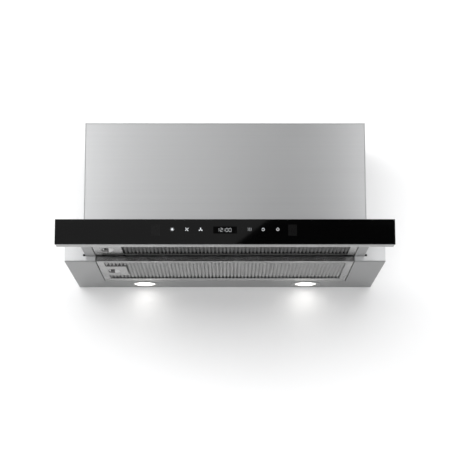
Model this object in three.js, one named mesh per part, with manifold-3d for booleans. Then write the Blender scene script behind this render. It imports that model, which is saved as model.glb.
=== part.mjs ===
// A built-in kitchen range hood with a pull-out slider, shown with the slider fully out.
//
// Millimetres. +X is to the right as seen from the front, +Y is towards the wall and +Z is up.
// Everything is drawn from the underside of the lower body (z = 0) and the wall plane (y = 0),
// and the whole group is lowered so that its origin lies on the back face, ORIGIN_HEIGHT above
// the underside. A pair such as [a, b] is always a span along one axis.

import * as THREE from 'three';
import { mergeVertices } from 'three/addons/utils/BufferGeometryUtils.js';
import Module from 'manifold-3d';

const wasm = await Module();
wasm.setup();

// ---- Driving dimensions ----

const ORIGIN_HEIGHT = 150;
const SHEET = 1; // steel sheet of the bodies and the slider
const GAP = 0.3; // clearance between pieces that touch

// Lower body
const HALF_WIDTH = 299;
const BASE_DEPTH = 280;
const BASE_HEIGHT = 46;
const BAY_HALF = 241.5; // half width of the opening for the filters
const BAY_REAR = -73; // rear edge of that opening
const LIP_HEIGHT = 10; // upturned edge round the opening, and the sill under the slider

// Upper housing
const HOUSING_HALF = 275;
const HOUSING_DEPTH = 184;
const HOUSING_TOP = 295;
const HEM = [273.3, 275]; // doubled front edge of each side panel
const INLET_MARGIN = 13; // rim of the top plate that the housing stands on

// Slider
const SLIDER_HALF = 260;
const SLIDER_FLOOR = 10.4;
const SLIDER_TOP = 36;
const SLIDER_REAR = -145;
const SLIDER_COVER_REAR = -270;

// Front panel
const PANEL_FRONT = -437;
const PANEL_BACK = -413;
const GLASS = 5;
const PANEL_SPAN = [0.4, 45.6];
const FRAME_HALF = 298;

// Grease filters
const FILTER_HALF = 240;
const FILTER_THICK = 10;
const FILTER_SIDE = 13; // width of the border beside the mesh
const FILTER_SKIN = 1;
const MESH_PITCH = 7;
const MESH_SKIN = 1.6;
const GRIP = { left: -225, right: -203, depth: 7.2 }; // finger cup in the handle plate
const PLATE_RIGHT = -188;
const LUG = { reach: 4.5, width: 16, span: [6, 7], slot: [5.2, 9.2] };

// Telescopic rails: nested channels, each given by its web, its flange tips and its height span
const FIXED_RAIL = { web: [272, 273.5], tip: 263, height: [14, 41], run: [-275, -20] };
const MIDDLE_RAIL = { web: [269.5, 271], tip: 263, height: [17, 38], run: [-275, -100] };
const INNER_RAIL = { web: [260.3, 261.8], tip: 268, height: [20, 35], run: [-272, -148] };
const RAIL_SHEET = 1.5;

// Blower: double inlet, its axis along X through this point
const BLOWER_AXIS = { y: -92, z: 156 };
const SCROLL_HALF = 57;
const SCROLL_WALL = 1.5;
const TONGUE_ANGLE = 30; // degrees above the horizontal, on the wall side
const SCROLL_RADII = [67, 84]; // at the tongue, and where the front wall turns upwards
const NECK_HALF = 60;
const NECK_TOP = 115; // above the axis
const INLET_RADIUS = 52;
const MOUTH_DEPTH = 4; // raised rim of each inlet
const IMPELLER = { outer: 61, inner: 50, half: 50, blades: 20, blade: 1.3 };
const SHAFT_RADIUS = 4;
const MOTOR = { radius: 38, span: [6, 54] };

// Outlet collar with a butterfly damper
const COLLAR = { inner: 59.5, outer: 62, top: HOUSING_TOP + 6, flange: 68 };
const FLAP_LEVEL = HOUSING_TOP - 16;
const FLAP_OFFSET = 4; // from the middle line to each flap's hinge
const TRUNNION_RADIUS = 1.6;

// Lamps
const LAMP = { x: 163, y: -38, bezel: 30, hole: 27, lens: 22.5 };

// Sides of a round form, for small and for large ones
const ROUND = { small: 16, middle: 32, large: 44 };

// ---- Finishes ----

const FINISH = {
  brushedSteel: { color: 0xb9babd, roughness: 0.34, metalness: 1 },
  galvanised: { color: 0xa2a5a7, roughness: 0.55, metalness: 0.9 },
  zincPlate: { color: 0xb0b3b5, roughness: 0.35, metalness: 1 },
  aluminium: { color: 0xb2b3b2, roughness: 0.42, metalness: 1 },
  meshAluminium: { color: 0x8f908d, roughness: 0.5, metalness: 1 },
  blackGlass: { color: 0x060607, roughness: 0.06, metalness: 0 },
  greyPlastic: { color: 0x6d7073, roughness: 0.6, metalness: 0 },
  blackPlastic: { color: 0x1a1b1c, roughness: 0.55, metalness: 0 },
  whitePlastic: { color: 0xe8e9ea, roughness: 0.5, metalness: 0 },
  circuitBoard: { color: 0x24563a, roughness: 0.5, metalness: 0 },
  rubber: { color: 0x161616, roughness: 0.8, metalness: 0 },
  lampLens: { color: 0xfdfbf4, roughness: 0.3, metalness: 0 },
};

// ---- Shape helpers ----

/** A closed three.js geometry as a solid that can be joined and cut. */
function solid(geometry) {
  geometry.deleteAttribute('normal');
  geometry.deleteAttribute('uv');
  const merged = mergeVertices(geometry, 1e-4);
  return new wasm.Manifold(new wasm.Mesh({
    numProp: 3,
    vertProperties: new Float32Array(merged.attributes.position.array),
    triVerts: new Uint32Array(merged.index.array),
  }));
}

/** A named mesh with a material of its own, from a joined or cut solid. */
function piece(name, shape, finish) {
  const { vertProperties, triVerts } = shape.getMesh();
  const geometry = new THREE.BufferGeometry();
  geometry.setAttribute('position', new THREE.BufferAttribute(vertProperties, 3));
  geometry.setIndex(new THREE.BufferAttribute(triVerts, 1));
  geometry.computeVertexNormals();
  const mesh = new THREE.Mesh(geometry, new THREE.MeshStandardMaterial(finish));
  mesh.name = name;
  return mesh;
}

/** A group of meshes and groups at a place. */
function group(position, ...children) {
  const made = new THREE.Group();
  made.position.set(...position);
  made.add(...children);
  return made;
}

/** The two values of a span, on the right (+1) or mirrored to the left (-1). */
function mirrored(side, [from, to]) {
  return [side * from, side * to];
}

/** A rectangular block over three spans, each in either order. */
function block([x0, x1], [y0, y1], [z0, z1]) {
  const geometry = new THREE.BoxGeometry(Math.abs(x1 - x0), Math.abs(y1 - y0), Math.abs(z1 - z0));
  geometry.translate((x0 + x1) / 2, (y0 + y1) / 2, (z0 + z1) / 2);
  return solid(geometry);
}

/** A round bar along x, y or z over a span, with its axis moved by an offset. */
function bar(axis, radius, [from, to], offset = [0, 0, 0], segments = ROUND.middle) {
  const geometry = new THREE.CylinderGeometry(radius, radius, to - from, segments);
  geometry.translate(0, (from + to) / 2, 0);
  if (axis === 'x') geometry.rotateZ(-Math.PI / 2);
  if (axis === 'z') geometry.rotateX(Math.PI / 2);
  geometry.translate(...offset);
  return solid(geometry);
}

/** A ring: a round bar with a round hole along it. */
function ring(axis, outer, inner, span, offset = [0, 0, 0], segments = ROUND.middle) {
  const hole = bar(axis, inner, [span[0] - 1, span[1] + 1], offset, segments);
  return bar(axis, outer, span, offset, segments).subtract(hole);
}

/** A turned form about a vertical axis: [radius, height] pairs from its foot to its top. */
function turned(profile, segments = ROUND.middle) {
  const points = profile.map(([radius, height]) => new THREE.Vector2(radius, height));
  const geometry = new THREE.LatheGeometry(points, segments);
  geometry.rotateX(Math.PI / 2);
  return solid(geometry);
}

/** A flat outline of [u, v] points. */
function outline(points) {
  return new THREE.Shape(points.map(([u, v]) => new THREE.Vector2(u, v)));
}

const PLANE_BASIS = {
  // Outline axes u and v, then the direction of its depth
  yz: [[0, 1, 0], [0, 0, 1], [1, 0, 0]],
  zx: [[0, 0, 1], [1, 0, 0], [0, 1, 0]],
  xy: [[1, 0, 0], [0, 1, 0], [0, 0, 1]],
};

/** An outline in the yz, zx or xy plane, given depth over a span of the third axis. */
function extruded(shape, plane, [from, to], curveSegments = 32) {
  const options = { depth: to - from, bevelEnabled: false, curveSegments };
  const geometry = new THREE.ExtrudeGeometry(shape, options);
  geometry.translate(0, 0, from);
  const basis = PLANE_BASIS[plane].map((vector) => new THREE.Vector3(...vector));
  geometry.applyMatrix4(new THREE.Matrix4().makeBasis(...basis));
  return solid(geometry);
}

/** The closed outline of a strip: a path of [u, v] points, thickened to its left. */
function strip(path, thickness) {
  const normals = path.map((point, index) => {
    const before = path[Math.max(index - 1, 0)];
    const after = path[Math.min(index + 1, path.length - 1)];
    const length = Math.hypot(after[0] - before[0], after[1] - before[1]);
    return [-(after[1] - before[1]) / length, (after[0] - before[0]) / length];
  });
  const offset = path.map(([u, v], index) => {
    const [normalU, normalV] = normals[index];
    return [u + thickness * normalU, v + thickness * normalV];
  });
  return outline([...path, ...offset.reverse()]);
}

/** A channel along Y: an upright web with two flanges that reach to the tip. */
function channel(side, { web, tip, height: [low, high], run }) {
  const flange = mirrored(side, [Math.min(web[0], tip), Math.max(web[1], tip)]);
  return block(mirrored(side, web), run, [low, high])
    .add(block(flange, run, [low, low + RAIL_SHEET]))
    .add(block(flange, run, [high - RAIL_SHEET, high]));
}

/** The lug slots in the wall on the right of a filter, whose floor is at a level. */
function lugSlots(wall, filter, level) {
  const slots = lugCentres(filter).map((y) => block(
    [wall[0] - 1, wall[1] + 1],
    [y - LUG.width / 2 - 1.5, y + LUG.width / 2 + 1.5],
    LUG.slot.map((z) => z + level),
  ));
  return slots[0].add(slots[1]);
}

/** Where a filter's two lugs are, along Y. */
function lugCentres({ front, rear }) {
  const middle = (front + rear) / 2;
  const reach = (rear - front) * 0.3;
  return [middle - reach, middle + reach];
}

// ---- Grease filters ----

const FRONT_FILTER = {
  name: 'front_filter', front: -405, rear: -287, frontBorder: 13, rearBorder: 13,
  plate: [-373, -305], grip: [-355, -315],
};
const REAR_FILTER = {
  name: 'rear_filter', front: -280, rear: -74.5, frontBorder: 13, rearBorder: 26,
  plate: [-228, -140], grip: [-201, -159],
};

/** The rolled frame: a rectangular channel, open towards the mesh. */
function filterFrame({ front, rear, frontBorder, rearBorder, grip }) {
  const latchY = (grip[0] + grip[1]) / 2;
  const inner = FILTER_HALF - FILTER_SIDE;
  const web = FILTER_HALF - FILTER_SKIN;
  const body = block([-FILTER_HALF, FILTER_HALF], [front, rear], [0, FILTER_THICK]);
  const window = block([-inner, inner], [front + frontBorder, rear - rearBorder], [-1, FILTER_THICK + 1]);
  const hollow = block(
    [-web, web],
    [front + FILTER_SKIN, rear - FILTER_SKIN],
    [FILTER_SKIN, FILTER_THICK - FILTER_SKIN],
  );
  const boltHole = block([-FILTER_HALF - 1, -web + 1], [latchY - 6.5, latchY + 6.5], [2.6, 6.4]);
  const lugs = lugCentres({ front, rear }).map((y) => block(
    [web + 0.5, FILTER_HALF + LUG.reach],
    [y - LUG.width / 2, y + LUG.width / 2],
    LUG.span,
  ));
  return body.subtract(window).subtract(hollow).subtract(boltHole).add(lugs[0]).add(lugs[1]);
}

/** The expanded-metal pack: a pleated sheet, with room left for the handle. */
function filterMesh({ front, rear, plate }) {
  const half = FILTER_HALF - FILTER_SKIN - GAP;
  const low = FILTER_SKIN + GAP;
  const high = FILTER_THICK - FILTER_SKIN - GAP - MESH_SKIN;
  const folds = Math.floor((2 * half) / (MESH_PITCH / 2));
  const valley = [];
  for (let fold = 0; fold <= folds; fold += 1) {
    valley.push([fold % 2 ? high : low, -half + (fold * MESH_PITCH) / 2]);
  }
  const ridge = valley.map(([z, x]) => [z + MESH_SKIN, x]).reverse();
  const run = [front + FILTER_SKIN + GAP, rear - FILTER_SKIN - GAP];
  const sheet = extruded(outline([...valley, ...ridge]), 'zx', run);
  const room = block([-FILTER_HALF, PLATE_RIGHT + 0.6], [plate[0] - 0.6, plate[1] + 0.6], [-1, FILTER_THICK]);
  return sheet.subtract(room);
}

/** The handle plate with its finger cup and the channel that guides the latch. */
function filterHandle({ plate, grip }) {
  const plateLeft = -FILTER_HALF + FILTER_SIDE + GAP;
  const cupRadius = (GRIP.right - GRIP.left) / 2;
  const cupX = (GRIP.left + GRIP.right) / 2;
  const latchY = (grip[0] + grip[1]) / 2;
  const face = block([plateLeft, PLATE_RIGHT], plate, [0, FILTER_SKIN]);
  const top = FILTER_THICK - FILTER_SKIN - GAP;
  const housing = block(
    [-FILTER_HALF + FILTER_SKIN + GAP, GRIP.right + 6],
    [grip[0] - 4, grip[1] + 4],
    [FILTER_SKIN + GAP, top],
  );
  const bridge = block([plateLeft, GRIP.right + 6], [grip[0] - 4, grip[1] + 4], [0.5, 2]);
  const cup = new THREE.Shape();
  cup.absarc(cupX, grip[1] - cupRadius, cupRadius, 0, Math.PI);
  cup.absarc(cupX, grip[0] + cupRadius, cupRadius, Math.PI, 2 * Math.PI);
  const pocket = extruded(cup, 'xy', [-1, GRIP.depth], 10);
  const guide = block([-FILTER_HALF, cupX], [latchY - 6.5, latchY + 6.5], [2.6, 6.4]);
  return face.add(bridge).add(housing).subtract(pocket).subtract(guide);
}

/** The latch: a flat bolt with a finger tab in the cup. It slides to the right to let go. */
function filterLatch({ grip }) {
  const y = (grip[0] + grip[1]) / 2;
  const bolt = block([-FILTER_HALF + 0.1, GRIP.left + 4], [y - 6, y + 6], [3, 6]);
  const tab = block([GRIP.left + 1.5, GRIP.left + 4], [y - 6, y + 6], [0.8, 6]);
  return bolt.add(tab);
}

function filter(spec, level) {
  return group(
    [0, 0, level],
    piece(`${spec.name}_frame`, filterFrame(spec), FINISH.aluminium),
    piece(`${spec.name}_mesh`, filterMesh(spec), FINISH.meshAluminium),
    piece(`${spec.name}_handle`, filterHandle(spec), FINISH.aluminium),
    piece(`${spec.name}_latch`, filterLatch(spec), FINISH.zincPlate),
  );
}

// ---- Lower body ----

function baseUnderside() {
  const sheet = block([-HALF_WIDTH, HALF_WIDTH], [-BASE_DEPTH, 0], [0, SHEET]);
  const bay = block([-BAY_HALF, BAY_HALF], [-BASE_DEPTH - 1, BAY_REAR], [-1, SHEET + 1]);
  const lipRun = [-BASE_DEPTH + SHEET + GAP, BAY_REAR + SHEET];
  let body = sheet.subtract(bay);
  for (const side of [-1, 1]) {
    const lip = mirrored(side, [BAY_HALF, BAY_HALF + SHEET]);
    body = body.add(block(lip, lipRun, [0, LIP_HEIGHT]));
    body = body.subtract(bar('z', LAMP.hole, [-1, LIP_HEIGHT], [side * LAMP.x, LAMP.y, 0]));
  }
  const rearLip = [BAY_REAR, BAY_REAR + SHEET];
  body = body.add(block([-BAY_HALF - SHEET, BAY_HALF + SHEET], rearLip, [0, LIP_HEIGHT]));
  return body.subtract(lugSlots([BAY_HALF, BAY_HALF + SHEET], REAR_FILTER, 0));
}

/** One end of the lower body: its side wall, and its front face beside and under the slider. */
function baseCheek(side) {
  const floor = SHEET + GAP;
  const top = BASE_HEIGHT - SHEET - GAP;
  const front = [-BASE_DEPTH, -BASE_DEPTH + SHEET];
  const outer = [HALF_WIDTH - SHEET, HALF_WIDTH];
  const wall = block(mirrored(side, outer), [-BASE_DEPTH, -SHEET - GAP], [floor, top]);
  const face = block(mirrored(side, [SLIDER_HALF + 0.5, HALF_WIDTH]), front, [floor, top]);
  const sill = block(mirrored(side, [BAY_HALF, HALF_WIDTH]), front, [floor, LIP_HEIGHT]);
  const padNotch = block(mirrored(side, [SLIDER_HALF, SLIDER_HALF + 4.8]), front, [LIP_HEIGHT, 13.8]);
  return wall.add(face).add(sill).subtract(padNotch);
}

/** A plastic pad in the corner of the mouth, which keeps the slider off the steel. */
function glidePad(side) {
  return block(
    mirrored(side, [SLIDER_HALF + 0.4, SLIDER_HALF + 4.5]),
    [-BASE_DEPTH - 0.6, -BASE_DEPTH + 4],
    [LIP_HEIGHT + GAP, 13.5],
  );
}

/** The top of the lower body: a shallow seat for the housing round its inlet, and a wing each side. */
function baseTopPlate() {
  const level = [BASE_HEIGHT - SHEET, BASE_HEIGHT];
  const inletHalf = HOUSING_HALF - INLET_MARGIN;
  const plate = block([-HALF_WIDTH, HALF_WIDTH], [-BASE_DEPTH, 0], level);
  const inlet = block(
    [-inletHalf, inletHalf],
    [-HOUSING_DEPTH + INLET_MARGIN, -INLET_MARGIN],
    [BASE_HEIGHT - 5, BASE_HEIGHT + 5],
  );
  const seat = block(
    [-HOUSING_HALF - GAP, HOUSING_HALF + GAP],
    [-HOUSING_DEPTH - GAP, 1],
    [BASE_HEIGHT - GAP, BASE_HEIGHT + 1],
  );
  const apron = block(
    [-SLIDER_HALF, SLIDER_HALF],
    [-BASE_DEPTH, -BASE_DEPTH + SHEET],
    [SLIDER_TOP + 2, BASE_HEIGHT - 0.5],
  );
  return plate.subtract(inlet).subtract(seat).add(apron);
}

/** The angle that hangs a fixed rail from the top plate. */
function railHanger(side) {
  const web = [FIXED_RAIL.web[1] + GAP, FIXED_RAIL.web[1] + GAP + RAIL_SHEET];
  const top = BASE_HEIGHT - SHEET - GAP;
  const foot = [web[0], HALF_WIDTH - SHEET - GAP];
  return block(mirrored(side, web), FIXED_RAIL.run, [12, top])
    .add(block(mirrored(side, foot), FIXED_RAIL.run, [top - RAIL_SHEET, top]));
}

function lowerBody() {
  const rearWall = block(
    [-HALF_WIDTH + SHEET + GAP, HALF_WIDTH - SHEET - GAP],
    [-SHEET, 0],
    [SHEET + GAP, BASE_HEIGHT - SHEET - GAP],
  );
  const pairs = [[-1, 'left'], [1, 'right']].flatMap(([side, hand]) => [
    piece(`base_${hand}_cheek`, baseCheek(side), FINISH.brushedSteel),
    piece(`${hand}_glide_pad`, glidePad(side), FINISH.rubber),
    piece(`${hand}_rail_hanger`, railHanger(side), FINISH.galvanised),
    piece(`${hand}_fixed_rail`, channel(side, FIXED_RAIL), FINISH.zincPlate),
    piece(`${hand}_middle_rail`, channel(side, MIDDLE_RAIL), FINISH.zincPlate),
  ]);
  return group(
    [0, 0, 0],
    piece('base_underside', baseUnderside(), FINISH.brushedSteel),
    piece('base_rear_wall', rearWall, FINISH.galvanised),
    piece('base_top_plate', baseTopPlate(), FINISH.galvanised),
    ...pairs,
  );
}

// ---- Lamps ----

/** One recessed lamp about its own axis, its flange against the underside. */
function lamp(side, hand) {
  const flange = ring('z', LAMP.bezel, LAMP.lens + 0.5, [-GAP - 1, -GAP]);
  const neck = ring('z', LAMP.hole - 0.5, LAMP.lens + 0.5, [-GAP - 0.5, 8]);
  const lens = turned([[0, -1], [LAMP.lens * 0.6, -0.8], [LAMP.lens, 0], [LAMP.lens, 1.6], [0, 1.6]]);
  const body = bar('z', LAMP.hole - 3, [8 + GAP, 16]).add(bar('z', LAMP.hole - 9, [15, 22]));
  return group(
    [side * LAMP.x, LAMP.y, 0],
    piece(`${hand}_lamp_bezel`, flange.add(neck), FINISH.zincPlate),
    piece(`${hand}_lamp_lens`, lens, FINISH.lampLens),
    piece(`${hand}_lamp_body`, body, FINISH.greyPlastic),
  );
}

/** The lead from the control box down the rear wall and along above both lamps. */
function lampHarness() {
  const route = [
    [-205, -34, 195.5], [-205, -28, 160], [-205, -20, 100], [-205, -20, 44], [-196, -12, 30],
    [-163, -8, 26], [-80, -8, 26], [0, -8, 26], [80, -8, 26], [163, -8, 26],
  ];
  const curve = new THREE.CatmullRomCurve3(route.map((point) => new THREE.Vector3(...point)));
  const section = new THREE.Shape();
  section.absarc(0, 0, 2.5, 0, 2 * Math.PI);
  const options = { steps: 28, extrudePath: curve, curveSegments: 4 };
  return solid(new THREE.ExtrudeGeometry(section, options));
}

// ---- Upper housing ----

function upperHousing() {
  const ceiling = HOUSING_TOP - SHEET;
  const height = [BASE_HEIGHT, ceiling - GAP];
  const front = block(
    [-HEM[0] + GAP, HEM[0] - GAP],
    [-HOUSING_DEPTH, -HOUSING_DEPTH + SHEET],
    height,
  );
  const rear = block([-HOUSING_HALF, HOUSING_HALF], [-SHEET, 0], height);
  const outlet = bar('z', COLLAR.outer + 1, [ceiling - 5, ceiling + 5], [0, BLOWER_AXIS.y, 0], ROUND.large);
  const glandHole = bar('z', 8.3, [ceiling - 5, ceiling + 5], GLAND_PLACE);
  const top = block([-HOUSING_HALF, HOUSING_HALF], [-HOUSING_DEPTH, 0], [ceiling, HOUSING_TOP]);
  const sides = [[-1, 'left'], [1, 'right']].map(([side, hand]) => {
    const wall = [HOUSING_HALF - SHEET, HOUSING_HALF];
    const panel = block(mirrored(side, wall), [-HOUSING_DEPTH, -SHEET - GAP], height)
      .add(block(mirrored(side, HEM), [-HOUSING_DEPTH, -HOUSING_DEPTH + 8], height));
    return piece(`housing_${hand}_panel`, panel, FINISH.brushedSteel);
  });
  return group(
    [0, 0, 0],
    piece('housing_front_panel', front, FINISH.brushedSteel),
    piece('housing_rear_panel', rear, FINISH.galvanised),
    piece('housing_top_panel', top.subtract(outlet).subtract(glandHole), FINISH.galvanised),
    ...sides,
  );
}

// ---- Blower, drawn about its own axis ----

/** The scroll's path from the tongue, under the impeller and up the front to the neck. */
function scrollPath() {
  const path = [];
  const turn = 180 + TONGUE_ANGLE;
  for (let swept = 0; swept <= turn; swept += 7.5) {
    const angle = THREE.MathUtils.degToRad(TONGUE_ANGLE - swept);
    const radius = THREE.MathUtils.lerp(...SCROLL_RADII, swept / turn);
    path.push([radius * Math.cos(angle), radius * Math.sin(angle)]);
  }
  path.push([-SCROLL_RADII[1], 40], [-NECK_HALF, NECK_TOP - 14], [-NECK_HALF, NECK_TOP]);
  return path;
}

function blowerScroll() {
  const path = scrollPath();
  const depth = [-SCROLL_HALF, SCROLL_HALF];
  const [tongueY, tongueZ] = path[0];
  const wrap = extruded(strip(path, SCROLL_WALL), 'yz', depth);
  const rearPath = [[NECK_HALF, NECK_TOP], [NECK_HALF, tongueZ + 14], [tongueY, tongueZ - 1]];
  return wrap.add(extruded(strip(rearPath, SCROLL_WALL), 'yz', depth));
}

/** An end plate of the scroll, with a round inlet and a raised mouth. */
function blowerPlate(side) {
  const face = [SCROLL_HALF + GAP, SCROLL_HALF + GAP + SCROLL_WALL];
  const plate = extruded(
    outline([...scrollPath(), [NECK_HALF, NECK_TOP]]),
    'yz',
    [Math.min(...mirrored(side, face)), Math.max(...mirrored(side, face))],
  );
  const mouthSpan = mirrored(side, [face[0], face[1] + MOUTH_DEPTH]).sort((a, b) => a - b);
  const cut = mirrored(side, [face[0] - 5, face[1] + 10]).sort((a, b) => a - b);
  return plate
    .add(bar('x', INLET_RADIUS + 3, mouthSpan))
    .subtract(bar('x', INLET_RADIUS, cut));
}

/** The double-inlet wheel: a middle disc, forward-curved blades and two end rings. */
function impeller() {
  const { outer, inner, half, blades, blade } = IMPELLER;
  const boss = bar('x', 10, [-14, 1.5]);
  let wheel = bar('x', outer, [-1.5, 1.5]).add(boss);
  for (const end of [[-half, -half + 3], [half - 3, half]]) {
    wheel = wheel.add(ring('x', outer, inner, end));
  }
  for (let index = 0; index < blades; index += 1) {
    const start = (2 * Math.PI * index) / blades;
    const at = (radius, lead) => [radius * Math.cos(start + lead), radius * Math.sin(start + lead)];
    const path = [at(inner, 0), at((inner + outer) / 2, 0.05), at(outer - 0.5, 0.14)];
    wheel = wheel.add(extruded(strip(path, blade), 'yz', [-half + 1, half - 1]));
  }
  return wheel.subtract(bar('x', SHAFT_RADIUS + GAP, [-20, 10]));
}

function motor() {
  const [near, far] = MOTOR.span;
  return bar('x', MOTOR.radius, MOTOR.span)
    .add(bar('x', 14, [far - 1, far + 5]))
    .subtract(bar('x', SHAFT_RADIUS + 0.5, [near - 1, far + 6]));
}

/** The three-armed spider that holds the motor in the right inlet. */
function motorBracket() {
  const near = SCROLL_HALF + SCROLL_WALL + MOUTH_DEPTH + 2 * GAP;
  const span = [near, near + 2];
  let spider = ring('x', INLET_RADIUS + 6, INLET_RADIUS - 2, span).add(bar('x', 22, span));
  for (let arm = 0; arm < 3; arm += 1) {
    const geometry = new THREE.BoxGeometry(span[1] - span[0], 10, INLET_RADIUS - 15);
    geometry.translate((span[0] + span[1]) / 2, 0, INLET_RADIUS / 2 + 8);
    geometry.rotateX((arm * 2 * Math.PI) / 3);
    spider = spider.add(solid(geometry));
  }
  return spider.subtract(bar('x', SHAFT_RADIUS + 1, [span[0] - 1, span[1] + 1]));
}

function blower() {
  return group(
    [0, BLOWER_AXIS.y, BLOWER_AXIS.z],
    piece('blower_scroll', blowerScroll(), FINISH.blackPlastic),
    piece('blower_left_plate', blowerPlate(-1), FINISH.blackPlastic),
    piece('blower_right_plate', blowerPlate(1), FINISH.blackPlastic),
    piece('impeller', impeller(), FINISH.greyPlastic),
    piece('motor_shaft', bar('x', SHAFT_RADIUS, [-16, MOTOR.span[1] + 4]), FINISH.zincPlate),
    piece('motor', motor(), FINISH.galvanised),
    piece('motor_bracket', motorBracket(), FINISH.galvanised),
  );
}

// ---- Outlet collar and damper, drawn about the collar's axis at the flaps' hinge level ----

function outletCollar() {
  const foot = BLOWER_AXIS.z + NECK_TOP + GAP - FLAP_LEVEL;
  const top = COLLAR.top - FLAP_LEVEL;
  const panel = HOUSING_TOP + GAP - FLAP_LEVEL;
  const base = block([-64, 64], [-64, 64], [foot, foot + 1.5])
    .subtract(bar('z', COLLAR.inner, [foot - 1, foot + 3], [0, 0, 0], ROUND.large));
  let collar = base
    .add(ring('z', COLLAR.outer, COLLAR.inner, [foot, top], [0, 0, 0], ROUND.large))
    .add(ring('z', COLLAR.flange, COLLAR.inner, [panel, panel + 1.5], [0, 0, 0], ROUND.large));
  collar = collar.add(block([-COLLAR.inner - 1, COLLAR.inner + 1], [-1.4, 1.4], [-4, 4]));
  for (const y of [-FLAP_OFFSET, FLAP_OFFSET]) {
    collar = collar.subtract(bar('x', TRUNNION_RADIUS + 0.4, [-70, 70], [0, y, 0], ROUND.small));
  }
  return collar;
}

/** One half-round flap with its hinge barrel and trunnions. */
function damperFlap(side) {
  const radius = COLLAR.inner - 1.2;
  const start = Math.asin(FLAP_OFFSET / radius);
  const half = new THREE.Shape();
  half.absarc(0, 0, radius, start, Math.PI - start);
  const plate = extruded(half, 'xy', [-0.6, 0.6], 20);
  const barrel = bar('x', 2, [-radius + 1, radius - 1], [0, FLAP_OFFSET, 0], ROUND.small);
  const pin = bar('x', TRUNNION_RADIUS, [-COLLAR.outer, COLLAR.outer], [0, FLAP_OFFSET, 0], ROUND.small);
  const flap = plate.add(barrel).add(pin);
  return side > 0 ? flap : turnedAbout(flap);
}

/** A solid turned half way round the vertical axis. */
function turnedAbout(shape) {
  const { vertProperties, triVerts } = shape.getMesh();
  const geometry = new THREE.BufferGeometry();
  geometry.setAttribute('position', new THREE.BufferAttribute(vertProperties, 3));
  geometry.setIndex(new THREE.BufferAttribute(triVerts, 1));
  return solid(geometry.rotateZ(Math.PI));
}

function outlet() {
  return group(
    [0, BLOWER_AXIS.y, FLAP_LEVEL],
    piece('outlet_collar', outletCollar(), FINISH.blackPlastic),
    piece('damper_front_flap', damperFlap(-1), FINISH.blackPlastic),
    piece('damper_rear_flap', damperFlap(1), FINISH.blackPlastic),
  );
}

// ---- Electrics ----

const GLAND_PLACE = [-205, -45, 0];
const CONTROL_BOX = { x: [-268, -148], y: [-62, -14], z: [196, 276], wall: 2 };
const CAPACITOR = { radius: 17, span: [170, 238], place: [150, -24, 0] };

function controlBox() {
  const { x, y, z, wall } = CONTROL_BOX;
  const room = block([x[0] + wall, x[1] - wall], [y[0] - 1, y[1] - wall], [z[0] + wall, z[1] - wall]);
  return block(x, y, z).subtract(room);
}

function mainsGland() {
  const top = HOUSING_TOP + GAP;
  const flange = bar('z', 12, [top, top + 3], [0, 0, 0], 6);
  const dome = bar('z', 9, [top + 2, top + 7.7]);
  const thread = bar('z', 8, [HOUSING_TOP - 12, top + 1]);
  return flange.add(dome).add(thread).subtract(bar('z', 4, [HOUSING_TOP - 20, top + 20]));
}

function electrics() {
  const { x, y, z, wall } = CONTROL_BOX;
  const lid = block(x, [y[0] - GAP - wall, y[0] - GAP], z);
  const board = block([x[0] + 6, x[1] - 6], [y[1] - 12, y[1] - 10.4], [z[0] + 6, z[1] - 6]);
  const can = bar('z', CAPACITOR.radius, CAPACITOR.span, CAPACITOR.place);
  return group(
    [0, 0, 0],
    piece('control_box', controlBox(), FINISH.whitePlastic),
    piece('control_box_lid', lid, FINISH.whitePlastic),
    piece('power_board', board, FINISH.circuitBoard),
    piece('motor_capacitor', can, FINISH.whitePlastic),
    group([GLAND_PLACE[0], GLAND_PLACE[1], 0], piece('mains_gland', mainsGland(), FINISH.blackPlastic)),
    piece('lamp_harness', lampHarness(), FINISH.rubber),
  );
}

// ---- Slider ----

/** A side channel of the slider: a floor and two walls, open at the top. */
function sliderSide(side) {
  const run = [PANEL_BACK + GAP, SLIDER_REAR];
  const inner = BAY_HALF;
  const top = SLIDER_TOP - GAP;
  const innerWall = [inner, inner + SHEET];
  let body = block(mirrored(side, [inner, SLIDER_HALF]), run, [SLIDER_FLOOR, SLIDER_FLOOR + SHEET])
    .add(block(mirrored(side, innerWall), run, [SLIDER_FLOOR, top]))
    .add(block(mirrored(side, [SLIDER_HALF - SHEET, SLIDER_HALF]), run, [SLIDER_FLOOR, top]));
  if (side > 0) body = body.subtract(lugSlots(innerWall, FRONT_FILTER, SLIDER_FLOOR));
  return body;
}

function frontPanel() {
  const [low, high] = PANEL_SPAN;
  const frameFront = PANEL_FRONT + GLASS + GAP;
  const skin = 1.2;
  const back = [PANEL_BACK - SHEET, PANEL_BACK];
  const outside = [low + 0.2, high - 0.2];
  const tray = block([-FRAME_HALF, FRAME_HALF], [frameFront, back[0] - GAP], outside)
    .subtract(block(
      [-FRAME_HALF + skin, FRAME_HALF - skin],
      [frameFront + skin, PANEL_BACK + 5],
      [outside[0] + skin, outside[1] - skin],
    ))
    .subtract(block([-140, 140], [PANEL_FRONT, frameFront + 5], [12, 40]));
  const glass = block([-HALF_WIDTH, HALF_WIDTH], [PANEL_FRONT, PANEL_FRONT + GLASS], PANEL_SPAN);
  const board = [frameFront + 0.2, frameFront + 1.8];
  const display = block([-24, 24], [board[1] + GAP, board[1] + 7], [18, 35]);
  return group(
    [0, 0, 0],
    piece('glass_fascia', glass, FINISH.blackGlass),
    piece('panel_frame', tray, FINISH.aluminium),
    piece('panel_back', block([-FRAME_HALF, FRAME_HALF], back, outside), FINISH.brushedSteel),
    piece('touch_board', block([-138, 138], board, [14, 38]), FINISH.circuitBoard),
    piece('display_module', display, FINISH.blackPlastic),
  );
}

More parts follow.
